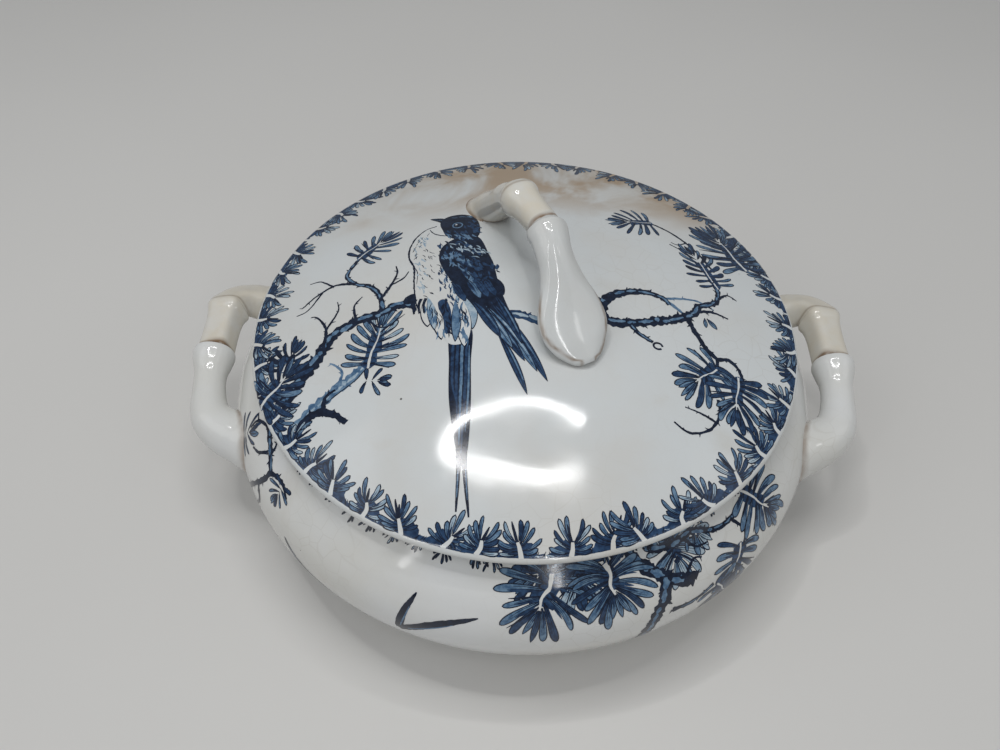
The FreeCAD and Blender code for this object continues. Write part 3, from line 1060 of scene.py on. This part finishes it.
LID_BOUGHS = (
    # left: a pale bough behind, gnarled bark, top twigs, the main bough, dark tufts at the edge
    (21, 0, (
        (branch, [-90-64j, -84-57j, -76-50j, -69-45j, -63-38j, -60-30j, -58-21j, -58-15j],
         5.4, 3.0, 9, PALE, WASH),
        (stroke, [-88-65j, -77-53.5j, -66-45j, -60.5-35j, -58-24j], 0.5, 0.4, LINE, None, 0.4),
        (branch, [-75-49j, -73-42j, -76-38j, -79-36j], 1.6, 0.6, 5, None, WASH),
        (tuft, -62.5-41j, 80, 19, 12.5, 2.5, 8, (WASH, PALE, WASH), 1.1, 0.35),
        (tuft, -63-47j, -8, 5, 6.5, 1.9, 3, (WASH, DEEP), 0.5))),
    (22, 1, (
        (branch, [-89-66j, -85-60j, -80-58j, -74-60j, -69-64j], 4.2, 2.2, 5),
        (branch, [-79-58j, -79-52j, -75-49j], 2.4, 1.0, 4))),
    (23, 1, (
        (branch, [-59-13j, -62-3j, -67+3j, -73+6j, -78+13j, -75+21j, -71+27j], 2.8, 1.5, 6, WASH),
        (branch, [-73+6j, -82+8j, -90+4j, -96-2j], 1.5, 0.6, 6),
        (branch, [-84+8j, -90+13j, -95+13j], 1.0, 0.4, 0),
        (branch, [-88+5j, -93-4j, -98-6j], 1.0, 0.4, 0),
        (branch, [-61-7j, -57+1j, -55+8j, -56+13j], 1.7, 0.5, 5),
        (branch, [-57+1j, -52+4j, -50+8j], 1.1, 0.4, 0),
        (tuft, -74+24j, 46, 13, 11, 2.1, 6, (DEEP, WASH), 0.7, 0.6))),
    (24, 2, (
        (branch, [-98-52j, -91-42j, -85-33j, -80-23j, -71-17j, -61-15j, -52-11.5j, -44-14.5j],
         6.2, 3.8, 6, WASH),
        (branch, [-83-29j, -83-18j, -88-10j, -91-9j], 1.8, 0.6, 5),
        (branch, [-83-18j, -79-9j, -80-3j], 1.3, 0.4, 5),
        (branch, [-70-16.5j, -72-8j, -69-3j], 1.4, 0.5, 4),
        (branch, [-66-16j, -60-22j, -54-22j], 1.3, 0.4, 4),
        (blob, [-50-8j, -46.5-6.5j, -44.5-9.5j, -47-12j, -50.5-11.5j], LINE),
        (small_ring, -47.2-9.2j, 1.2))),
    (25, 3, (
        (tuft, -99-35j, 72, 8, 9.5, 2.1, 5, (DEEP, LINE), 0.8, 0.8),
        (tuft, -107-51j, 54, 15, 14, 2.9, 7, (DEEP, LINE, DEEP, WASH), 1.5, 0.8, (108, 20), 3))),
    # right: the looped bough, tufts below and above it, and the bough behind the bird
    (31, 1, (
        (branch, [58-4j, 65-2j, 73-1j, 80-4j], 1.5, 0.6, 6, None, WASH),
        (branch, [59-5j, 64-9j, 67-12j], 1.8, 1.4, 0, None, WASH),
        (branch, [31-20j, 31-14j, 35-8j, 41-4.5j, 49-2.4j, 57-3.6j, 60-7j], 5.0, 2.4, 6, WASH),
        (branch, [29.5-17j, 33-21.5j, 40-21.5j, 48-19.5j, 55-17j, 62-14.5j, 67-11.5j],
         4.6, 4.2, 6, WASH),
        (blob, [31-8.5j, 35-6.5j, 37.5-8j, 35-10.5j, 31.5-10.5j], LINE),
        (branch, [42-21.5j, 46-26j, 51-29j], 2.4, 1.5, 5, WASH),
        (small_ring, 53-30.4j, 1.9),
        (branch, [66-12j, 71-8j, 73-4j, 78-1.5j, 82+2j, 83.5+9j, 81+16j], 3.8, 2.0, 5, WASH),
        (branch, [73-7j, 79-5.5j, 86-7j], 1.9, 0.7, 4),
        (branch, [84+5j, 88+8j, 92+6j], 1.5, 0.5, 3),
        (branch, [67-12j, 70-20j, 74-27j, 78-31j], 2.6, 1.8, 5),
        (branch, [78-31j, 83-30j, 87-34j, 88-40j], 1.8, 1.4, 4),
        (branch, [78-31j, 77-36j], 1.8, 1.4, 0),
        (leaf, 76-10j, 80-15j, 2.6, WASH),
        (leaf, 75-10j, 75-15.5j, 2.0, WASH),
        (branch, [76-50j, 76-57j, 71-64j, 63-66.5j, 57-63j], 1.5, 0.8, 6),
        (branch, [74-60j, 68-57.5j, 62-56j], 1.1, 0.5, 4))),
    (32, 2, ((tuft, 78-35j, -140, 13, 12.5, 2.6, 6, (WASH, WASH, DEEP), 0.9, 0.7, (105, 18)),)),
    (33, 3, ((tuft, 86-38j, -100, 14, 11.5, 2.6, 7, (DEEP, WASH, DEEP), 0.9, 0.7, (105, 18)),)),
    (34, 1, (
        (stroke, [81+17j, 76+26j, 70+33j, 65+36j], 1.0, 0.5, LINE, None, 0.3),
        (stroke, [84+22j, 78+34j, 72+42j, 65+48j, 57+52j], 1.3, 1.0, LINE, None, 0.3),
        (stroke, [73+40j, 69+37j, 66+38j], 0.8, 0.4, LINE),
        (tuft, 84+11j, 112, 22, 9.5, 2.3, 8, (LINE, DEEP, WASH), 0.8, 0.7),
        (tuft, 58+52j, 196, 12, 11, 2.1, 6, (DEEP, WASH), 0.5, 0.6))),
    (35, 3, ((tuft, 101+31j, 118, 23, 15, 2.8, 10, (DEEP, WASH, DEEP), 1.3, 0.7, (98, 22)),)),
    (36, 0, ((branch, [-11-20.5j, -3-21.5j, 6-24.5j, 16-25.5j, 25-23j, 31-20j],
              3.6, 4.0, 8, PALE, DEEP),)),
)


def plumage(art, line, reach, count, heading, length, ink, wide, swing=0.3):
    """Short curved strokes at random spots within reach of a line."""
    path = curve_through(line, 1.0)
    spots = []
    for _ in range(count):
        p = art.pick(path)
        spots.append(p + polar(reach * math.sqrt(art.random.random()), art.between(0, 2 * math.pi)))
    for spot in spots:
        turn = heading + art.between(-swing, swing)
        aim = polar(length * art.vary(0.35), turn)
        bow = aim * 1j * 0.12 * art.pick((1, -1))
        stroke(art, [spot, spot + aim * 0.5 + bow, spot + aim], 0.12, 0.08, ink, wide * art.vary(0.3))


def plume(art, base, tip, width, fill):
    """Loose feather of the belly."""
    art.add(blade(base, tip, width, 0.02), LINE)
    art.add(blade(base + 0.5j, tip + 0.7j, width - 0.7, 0.02), fill)


def feather(art, base, tip, width, fill, bend=0.02):
    """Long flight feather with a quill and a pale edge."""
    art.add(blade(base, tip, width, bend), LINE)
    unit = (tip - base) / abs(tip - base)
    art.add(blade(base + unit, tip - unit * 0.8, width - 0.8, bend), fill)
    axis, normal = tip - base, unit * 1j
    bow = normal * (bend * abs(axis) * 4)
    edge = [base + axis * t + normal * width * 0.2 + bow * t * (1 - t) for t in (0.3, 0.55, 0.8)]
    stroke(art, edge, 0.2, 0.15, WASH if fill == DEEP else PALE, 0.6)
    quill = [base + axis * t + bow * t * (1 - t) for t in (0.05, 0.5, 0.93)]
    stroke(art, quill, 0.6, 0.2, LINE)


def coverts(art):
    """Three rows of short feathers over the flight feathers."""
    for row in range(3):
        for k in range(6 - row):
            base = complex(-31 + (3.1 - 0.3 * row) * k + row, -2 + 8.0 * row + 0.5 * k)
            tip = base + polar(13.5 - 2 * row, math.radians(-62))
            leaf(art, base, tip, 4.3, (DEEP, LINE, WASH, DEEP)[(k + row) % 4], 0.04, 0.7)


# A long-tailed songbird perched with its back half turned, its head to the left.
FALL, SLANT = math.radians(-80), math.radians(-60)
MANTLE = [-32+23j, -27+17j, -21+9j, -17+2j]
EYE = -30.6+38.4j
SONGBIRD = (
    # tail: a dark bundle of feathers that ends in two streamers
    (stroke, [-25.5-66j, -24.6-84j, -24.9-101j], 3.2, 0.6, LINE, None, 0.06),
    (stroke, [-22.8-66j, -22.4-84j, -20.2-103j], 3.4, 0.6, LINE, None, 0.06),
    (blob, [-30.2-28j, -30-44j, -29.4-58j, -27.6-70j, -25.4-80j, -23.4-85j, -21.4-79j,
            -20.8-62j, -21.4-44j, -21.8-28j], LINE),
    (stroke, [-28.6-32j, -28.5-50j, -26.5-60j], 0.8, 0.2, DEEP, 1.1, 0.25),
    (stroke, [-26.9-32j, -26.8-50j, -25.65-69j], 0.8, 0.2, DEEP, 1.1, 0.25),
    (stroke, [-25.1-32j, -25-50j, -24.75-77j], 0.8, 0.2, WASH, 1.1, 0.25),
    (stroke, [-23.3-32j, -23.2-50j, -23.85-80j], 0.8, 0.2, DEEP, 1.1, 0.25),
    (stroke, [-22.3-36j, -22-56j, -22.6-72j], 0.3, 0.2, WASH, 0.9),
    (stroke, [-24.7-86j, -24.8-96j], 0.2, 0.15, WASH, 0.5),
    (stroke, [-21.9-86j, -20.9-97j], 0.2, 0.15, WASH, 0.5),
    # body: bare breast with a broken contour, flecked and shaded towards the wing
    (blob, [-38+40j, -44+38.5j, -48.5+32j, -51+24j, -50.5+16j, -48+9j, -47+0j, -46-9j, -44-17j,
            -38-24j, -33-31j, -29.5-35j, -24-34j, -21-26j, -19-12j, -21+2j, -26+16j, -29+30j], BARE),
    (stroke, [-40+39.5j, -45+37j, -49+31j, -51+23j, -50.3+16j, -47.8+9.5j, -47+0j, -46-8j,
              -44.5-15j], 0.5, 0.5, LINE, 0.8, 0.4),
    (stroke, [-47.8+10j, -46+6j, -45.8-1j], 0.5, 0.2, LINE),
    (stroke, [-43+37j, -40.5+33j, -36+30.5j, -33+31j], 0.3, 0.4, LINE, 0.6, 0.4),
    (plumage, [-46+31j, -48+22j, -45+10j, -44-4j], 2.4, 30, FALL + 0.35, 2.6, PALE, 0.8),
    (plumage, [-33+20j, -31+8j, -28-4j, -25-14j], 4.5, 66, FALL, 3.6, PALE, 1.2),
    (plumage, [-34+14j, -31+2j, -27-10j, -24-18j], 3.4, 54, FALL, 3.2, WASH, 1.0),
    (plumage, [-36+8j, -34-4j, -29-12j, -26-20j], 3.0, 34, FALL + 0.2, 3.0, DEEP, 0.8),
    (plumage, [-41+24j, -42+8j, -40-6j], 4.6, 26, FALL + 0.5, 2.4, LINE, 0.42),
    (plumage, [-44+34j, -47+26j, -47+14j], 2.0, 14, FALL - 0.6, 2.2, LINE, 0.42),
    # ragged plumes under the body, dark between the legs
    (blob, [-36-13j, -33-12j, -30.5-18j, -30-26j, -31.5-30j, -33.5-26j, -35-19j], DEEP),
    (plumage, [-34-12j, -32-20j, -31.5-27j], 1.6, 16, FALL, 4.0, LINE, 0.9),
    (plume, -42-11j, -39.5-25.5j, 5.2, BARE),
    (plume, -39-12j, -33.5-32.5j, 5.0, BARE),
    (plume, -40.5-10j, -36.6-27.5j, 4.0, PALE),
    (plume, -25-10j, -21.3-28.5j, 6.0, PALE),
    (plume, -27-12j, -24.2-36.8j, 6.4, BARE),
    (plume, -29-13j, -28-34j, 4.2, WASH),
    (plumage, [-41-14j, -37-19j, -34-27j], 1.8, 20, FALL, 4.0, WASH, 0.8),
    (plumage, [-27-14j, -25-22j, -25-30j], 1.8, 22, FALL, 4.4, WASH, 1.0),
    (plumage, [-40-13j, -35-22j], 1.6, 9, FALL, 4.2, LINE, 0.5),
    (plumage, [-26-15j, -25-27j], 1.8, 9, FALL, 4.6, LINE, 0.5),
    # folded wing: long narrow flight feathers, coverts, then the mottled mantle
    (blob, [-31+27j, -36.5+21j, -37.2+13j, -34+4j, -29-5.5j, -22.5-15j, -15-26.5j, -7.5-36j,
            -2.5-39j, -2.5-29j, -7.5-17.5j, -11.3-5j, -13.5+6j, -17+17j, -20.5+26j, -25+30j], LINE),
    (feather, -12-29j, 0.6-57.8j, 3.2, DEEP),
    (feather, -15-14j, 8.4-52j, 4.2, DEEP),
    (feather, -17-16j, 4.4-48j, 4.0, WASH),
    (feather, -19-17j, -0.4-43.6j, 4.0, DEEP),
    (feather, -20.5-15j, -5-38j, 4.2, WASH),
    (feather, -22.5-13j, -10-32.8j, 4.4, DEEP),
    (feather, -13.5-10j, -1.5-36j, 3.4, DEEP),
    (coverts,),
    (blob, [-33+26j, -37+20j, -36.5+12j, -31+6j, -25+4j, -18-1j, -13.5+5j, -16.5+16j, -20+26j,
            -25+30j], LINE),
    (plumage, MANTLE, 7.0, 60, SLANT, 3.4, DEEP, 1.4, 0.6),
    (plumage, [-34+18j, -30+12j, -26+8j], 3.6, 30, math.radians(-66), 3.2, WASH, 1.2, 0.6),
    (plumage, [-31+24j, -25+21j, -20+14j], 3.6, 26, math.radians(-50), 3.0, PALE, 0.9, 0.6),
    (plumage, MANTLE, 7.0, 44, SLANT, 2.6, LINE, 0.9, 0.8),
    # head: dark cap and mask, bare throat, short plain beak, ringed eye
    (blob, [-38+44.5j, -34+47.6j, -28+47.8j, -23+44j, -20.6+37j, -20.6+29j, -24+26j, -30+26.5j,
            -35+30j, -37+35j, -38.5+40j], LINE),
    (plumage, [-34+33j, -28+30j, -24+34j, -25+41j], 3.2, 40, math.radians(-55), 2.6, DEEP, 1.2, 0.5),
    (plumage, [-34+32j, -29+29j, -25+30j], 2.2, 22, math.radians(-55), 2.4, WASH, 0.9),
    (plumage, [-33+46j, -27+46j], 0.8, 5, math.radians(-10), 3.0, WASH, 0.5),
    (blob, [-37+45.4j, -40+46.6j, -43.6+46.6j, -40.4+44j, -37.6+42j], LINE),
    (stroke, [-38+44.2j, -42+45.9j], 0.3, 0.12, WASH),
    (disc, EYE, 3.1, LINE),
    (disc, EYE, 2.5, WASH),
    (disc, EYE, 1.9, LINE),
    (disc, EYE - 0.6 + 0.6j, 0.5, BARE, 6, 0.4),
    # feet on the branch
    (stroke, [-45.4-10j, -46.2-13.5j, -45.6-18j], 1.5, 0.8, LINE),
    (stroke, [-43.2-10j, -44-13.5j, -43.4-18j], 1.5, 0.8, LINE),
    (stroke, [-41.2-10j, -42-13.5j, -41.4-18j], 1.5, 0.8, LINE),
)


def wing(art, root, tip):
    """Wing of a small bird in flight, seen from below: a slim dark blade."""
    line = [root, (root + tip) / 2 + (tip - root) * 0.05j, tip]
    stroke(art, line, 2.8, 0.5, LINE, abs(tip - root) * 0.06 + 1.4, 0.1)
    stroke(art, [root + (tip - root) * t for t in (0.12, 0.4, 0.7)], 0.3, 0.2, WASH, 0.7)


# Tufts behind, the boughs, three drawings of tufts in front, the twig on the left, two flying birds.
BOWL_SCENE = (
    (51, 0, (
        (tuft, 14-1j, -150, 10, 12, 3.0, 5, (WASH, DEEP), 0),
        (tuft, 20-1j, -75, 9, 13, 3.2, 6, (WASH, PALE, DEEP), 0),
        (tuft, 63-3j, -92, 8, 13, 3.6, 5, (WASH, PALE), 0, 0.2),
        (tuft, 72-1j, -60, 6, 9, 2.6, 4, (WASH, PALE), 0, 0.2))),
    (52, 1, (
        (branch, [42-0j, 47-8j, 53-14j, 60-19j, 68-23j], 4.6, 5.6, 6, WASH),
        (branch, [56-16j, 54-25j, 50-34j, 47-46j, 48-58j], 5.6, 4.6, 7, WASH),
        (branch, [64-20j, 69-15j, 73-16j], 1.6, 0.6, 4),
        (branch, [52-4j, 62-6j, 73-5j, 82-9j, 93-10j, 104-6j], 3.4, 1.8, 6, WASH),
        (branch, [68-5.5j, 72-11j, 78-12j], 1.4, 0.6, 4),
        (branch, [92-10j, 96-18j, 92-25j], 1.5, 0.8, 5),
        (branch, [76-31j, 66-34j, 57-33j], 1.8, 2.6, 5, WASH))),
    (53, 2, ((tuft, 11-6j, -110, 13, 17.5, 3.0, 6, (WASH, DEEP, WASH), 2.0, 0.6, (98, 20)),)),
    (54, 3, ((tuft, 33-5j, -80, 11, 15.5, 2.9, 9, (WASH, WASH, DEEP), 2.0, 0.6, (128, 20), 3),)),
    (55, 2, (
        (tuft, 92-22j, -118, 13, 13, 3.0, 6, (DEEP, WASH), 1.0, 0.7),
        (tuft, 104-5j, -60, 16, 14, 3.2, 7, (DEEP, WASH, WASH), 1.2, 0.7),
        (tuft, 78-33j, -60, 12, 11, 2.8, 5, (WASH, DEEP), 0.9, 0.7))),
    (56, 1, (
        (branch, [-147-1j, -142-6j, -134-9j, -128-12j, -123-16j], 3.4, 2.6, 4, WASH),
        (branch, [-142-7j, -149-11j, -150-17j], 1.8, 0.9, 3),
        (branch, [-149-11j, -152-10j], 1.2, 0.6, 0),
        (branch, [-131-12j, -136-17j, -141-19j], 1.9, 0.8, 3),
        (branch, [-129-11j, -130-7j, -134-5j], 1.6, 0.7, 3),
        (branch, [-123-16j, -125-22j, -134-35j, -140-44j, -146-50j], 2.6, 1.4, 4),
        (branch, [-127-26j, -124-33j, -131-44j], 1.9, 0.9, 4),
        (branch, [-123-16j, -118-14j, -113-14j, -108-17j], 2.4, 1.4, 3),
        (tuft, -113-14j, -95, 5, 7.5, 1.8, 4, (WASH, DEEP), 0),
        (tuft, -152-24j, 60, 6, 10, 2.0, 4, (DEEP, WASH), 0))),
    (57, 2, ((wing, -46-42j, -40-19j), (wing, -46-42j, -16-24j))),
    (58, 2, ((wing, -92-44j, -103-33j), (wing, -92-44j, -74-58j))),
)


def bowl_scene(shift):
    """The boughs and birds on the shoulder, turned round the bowl by shift."""
    drawings = [Drawing(*row) for row in BOWL_SCENE]
    for drawing in drawings:
        drawing.bend(lambda p: p + shift)
    return drawings


INKS = (("line", (0.003, 0.007, 0.020), (0.008, 0.017, 0.042)),
        ("deep", (0.007, 0.022, 0.060), (0.026, 0.066, 0.145)),
        ("wash", (0.045, 0.105, 0.200), (0.150, 0.245, 0.355)),
        ("pale", (0.210, 0.310, 0.410), (0.400, 0.480, 0.540)))


def inks(base_glaze, prefix):
    """Cobalt under the glaze: uneven strength, the glaze's own gloss. BARE is the glaze itself."""
    made = []
    for name, dark, light in INKS:
        n = Nodes(f"{prefix}_{name}", base_glaze)
        n.feed("Base Color", n.mix(n.ramp(n.noise(420, 3, 0.6), 0.32, 0.68), dark, light))
        made.append(n.material)
    return made + [base_glaze]


def decorate():
    lid_inks, bowl_inks = inks(lid_glaze, "lid_ink"), inks(bowl_glaze, "bowl_ink")
    edge = border(count=48, seed=100, size=13.5, pitch=14.7, place=round_the_lid)
    scene = [Drawing(*row) for row in LID_BOUGHS] + [Drawing(41, 3, SONGBIRD)]
    for name, drawings in (("lid_border_print", edge), ("lid_scene_print", scene)):
        piece = lay(name, drawings, on_lid, lid_inks)
        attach(piece, "lid")
    rim = border(count=72, seed=300, size=7.6, pitch=10.9, place=round_the_neck)
    scene = bowl_scene(0) + bowl_scene(math.pi * BOWL_REACH)
    for name, drawings in (("bowl_border_print", rim), ("bowl_scene_print", scene)):
        piece = lay(name, drawings, on_bowl, bowl_inks)
        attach(piece, "bowl")


# ---- stage, lights and camera

def pale_floor():
    bpy.ops.mesh.primitive_plane_add(size=6, location=(0, 0, -0.2 * MM))
    floor = bpy.context.object
    floor.name = "floor"
    n = Nodes("pale_floor")
    n.feed("Base Color", n.mix(n.noise(3, 2), (0.60, 0.59, 0.57), (0.66, 0.65, 0.63)))
    n.feed("Roughness", 0.75)
    paint(floor, n.material)


def area_light(name, aim, azimuth, elevation, distance, size, power):
    """A soft box seen from aim at an azimuth (from +X) and an elevation, in degrees."""
    a, e = math.radians(azimuth), math.radians(elevation)
    back = Vector((math.cos(a) * math.cos(e), math.sin(a) * math.cos(e), math.sin(e)))
    data = bpy.data.lights.new(name, "AREA")
    data.shape = "RECTANGLE"
    data.size, data.size_y = size
    data.energy = power
    light = new_object(name, data)
    light.location = aim + back * distance
    light.rotation_euler = back.to_track_quat("Z", "Y").to_euler()
    return light


HOOP_STRIPS = 14


def hoop_lamp(name, centre, half_x, half_y, thick, power, start, end):
    """Overhead lamp in the shape of an open hoop, made of short soft strips that face down."""
    def at(k):
        a = math.radians(start + (end - start) * k / HOOP_STRIPS)
        return centre + Vector((half_x * math.cos(a), half_y * math.sin(a), 0))

    for k in range(HOOP_STRIPS):
        a, b = at(k), at(k + 1)
        size = ((b - a).length * 1.04, thick)
        strip = area_light(f"{name}_{k}", (a + b) / 2, 0, 90, 0, size, power / HOOP_STRIPS)
        strip.rotation_euler = (0, 0, math.atan2(b.y - a.y, b.x - a.x))


# Name, azimuth, elevation, distance from the lid, size and power of each soft box.
SOFT_BOXES = (
    ("left", -160, 44, 1.6, (1.2, 1.0), 3.0),
    ("left_tube", -128, 44, 1.5, (0.05, 1.2), 1.5),
    ("middle_tube", -77, 48, 1.5, (0.045, 1.1), 3.2),
    ("right_window", -38, 50, 1.6, (0.12, 0.4), 0.5),
    ("right", -15, 40, 1.8, (1.2, 1.0), 1.8),
)


def studio():
    world = bpy.data.worlds.new("studio")
    world.use_nodes = True
    sky = world.node_tree.nodes["Background"].inputs
    sky["Color"].default_value = (0.92, 0.96, 1.0, 1)
    sky["Strength"].default_value = 0.22
    bpy.context.scene.world = world
    hoop_lamp("hoop", Vector((0.02, 0.0, 1.3)), half_x=0.39, half_y=0.15, thick=0.034, power=6.0,
              start=38, end=322)
    for name, *values in SOFT_BOXES:
        area_light(name, Vector((0, 0, LIP_Z)), *values)
    bpy.context.scene.view_settings.view_transform = "Standard"


CAMERA_PITCH, CAMERA_ROLL, CAMERA_TURN = 49.17, 0.6, 0.6      # degrees
CAMERA_DISTANCE = 377 * MM
CAMERA_AIM = Vector((-10.5 * MM, -29.4 * MM, LIP_Z))
SENSOR_WIDTH, LENS = 36, 32.4


def camera():
    pitch, roll, turn = (math.radians(v) for v in (CAMERA_PITCH, CAMERA_ROLL, CAMERA_TURN))
    back = Vector((0, -math.cos(pitch), math.sin(pitch)))
    right = Vector((1, 0, 0))
    up = back.cross(right)
    rolled_right = right * math.cos(roll) + up * math.sin(roll)
    rolled_up = up * math.cos(roll) - right * math.sin(roll)
    turned = Matrix.Rotation(turn, 3, "Z")
    axes = Matrix((turned @ rolled_right, turned @ rolled_up, turned @ back)).transposed()
    data = bpy.data.cameras.new("camera")
    data.sensor_width, data.lens = SENSOR_WIDTH, LENS
    data.clip_start = 0.01
    shot = new_object("camera", data)
    spot = turned @ (CAMERA_AIM + back * CAMERA_DISTANCE)
    shot.matrix_world = Matrix.Translation(spot) @ axes.to_4x4()
    bpy.context.scene.camera = shot


# ---- the tureen

bowl_piece = bowl()
foot_piece = foot()
lid_piece = lid()
ring_piece = locating_ring()
right_piece = side_handle(tree_of(bowl_piece))
left_piece = mirrored_handle(right_piece)
handle_piece = lid_handle(tree_of(lid_piece))

bowl_glaze = glaze("bowl_glaze", (0.69, 0.70, 0.70), (0.64, 0.635, 0.60), stain=0.25, burn=0.15)
lid_glaze = glaze("lid_glaze", (0.61, 0.635, 0.64), (0.59, 0.585, 0.56), stain=0.22, burn=0.85)
for piece in (bowl_piece, foot_piece, right_piece, left_piece):
    paint(piece, bowl_glaze)
for piece in (lid_piece, ring_piece, handle_piece):
    paint(piece, lid_glaze)

decorate()
pale_floor()
studio()
camera()
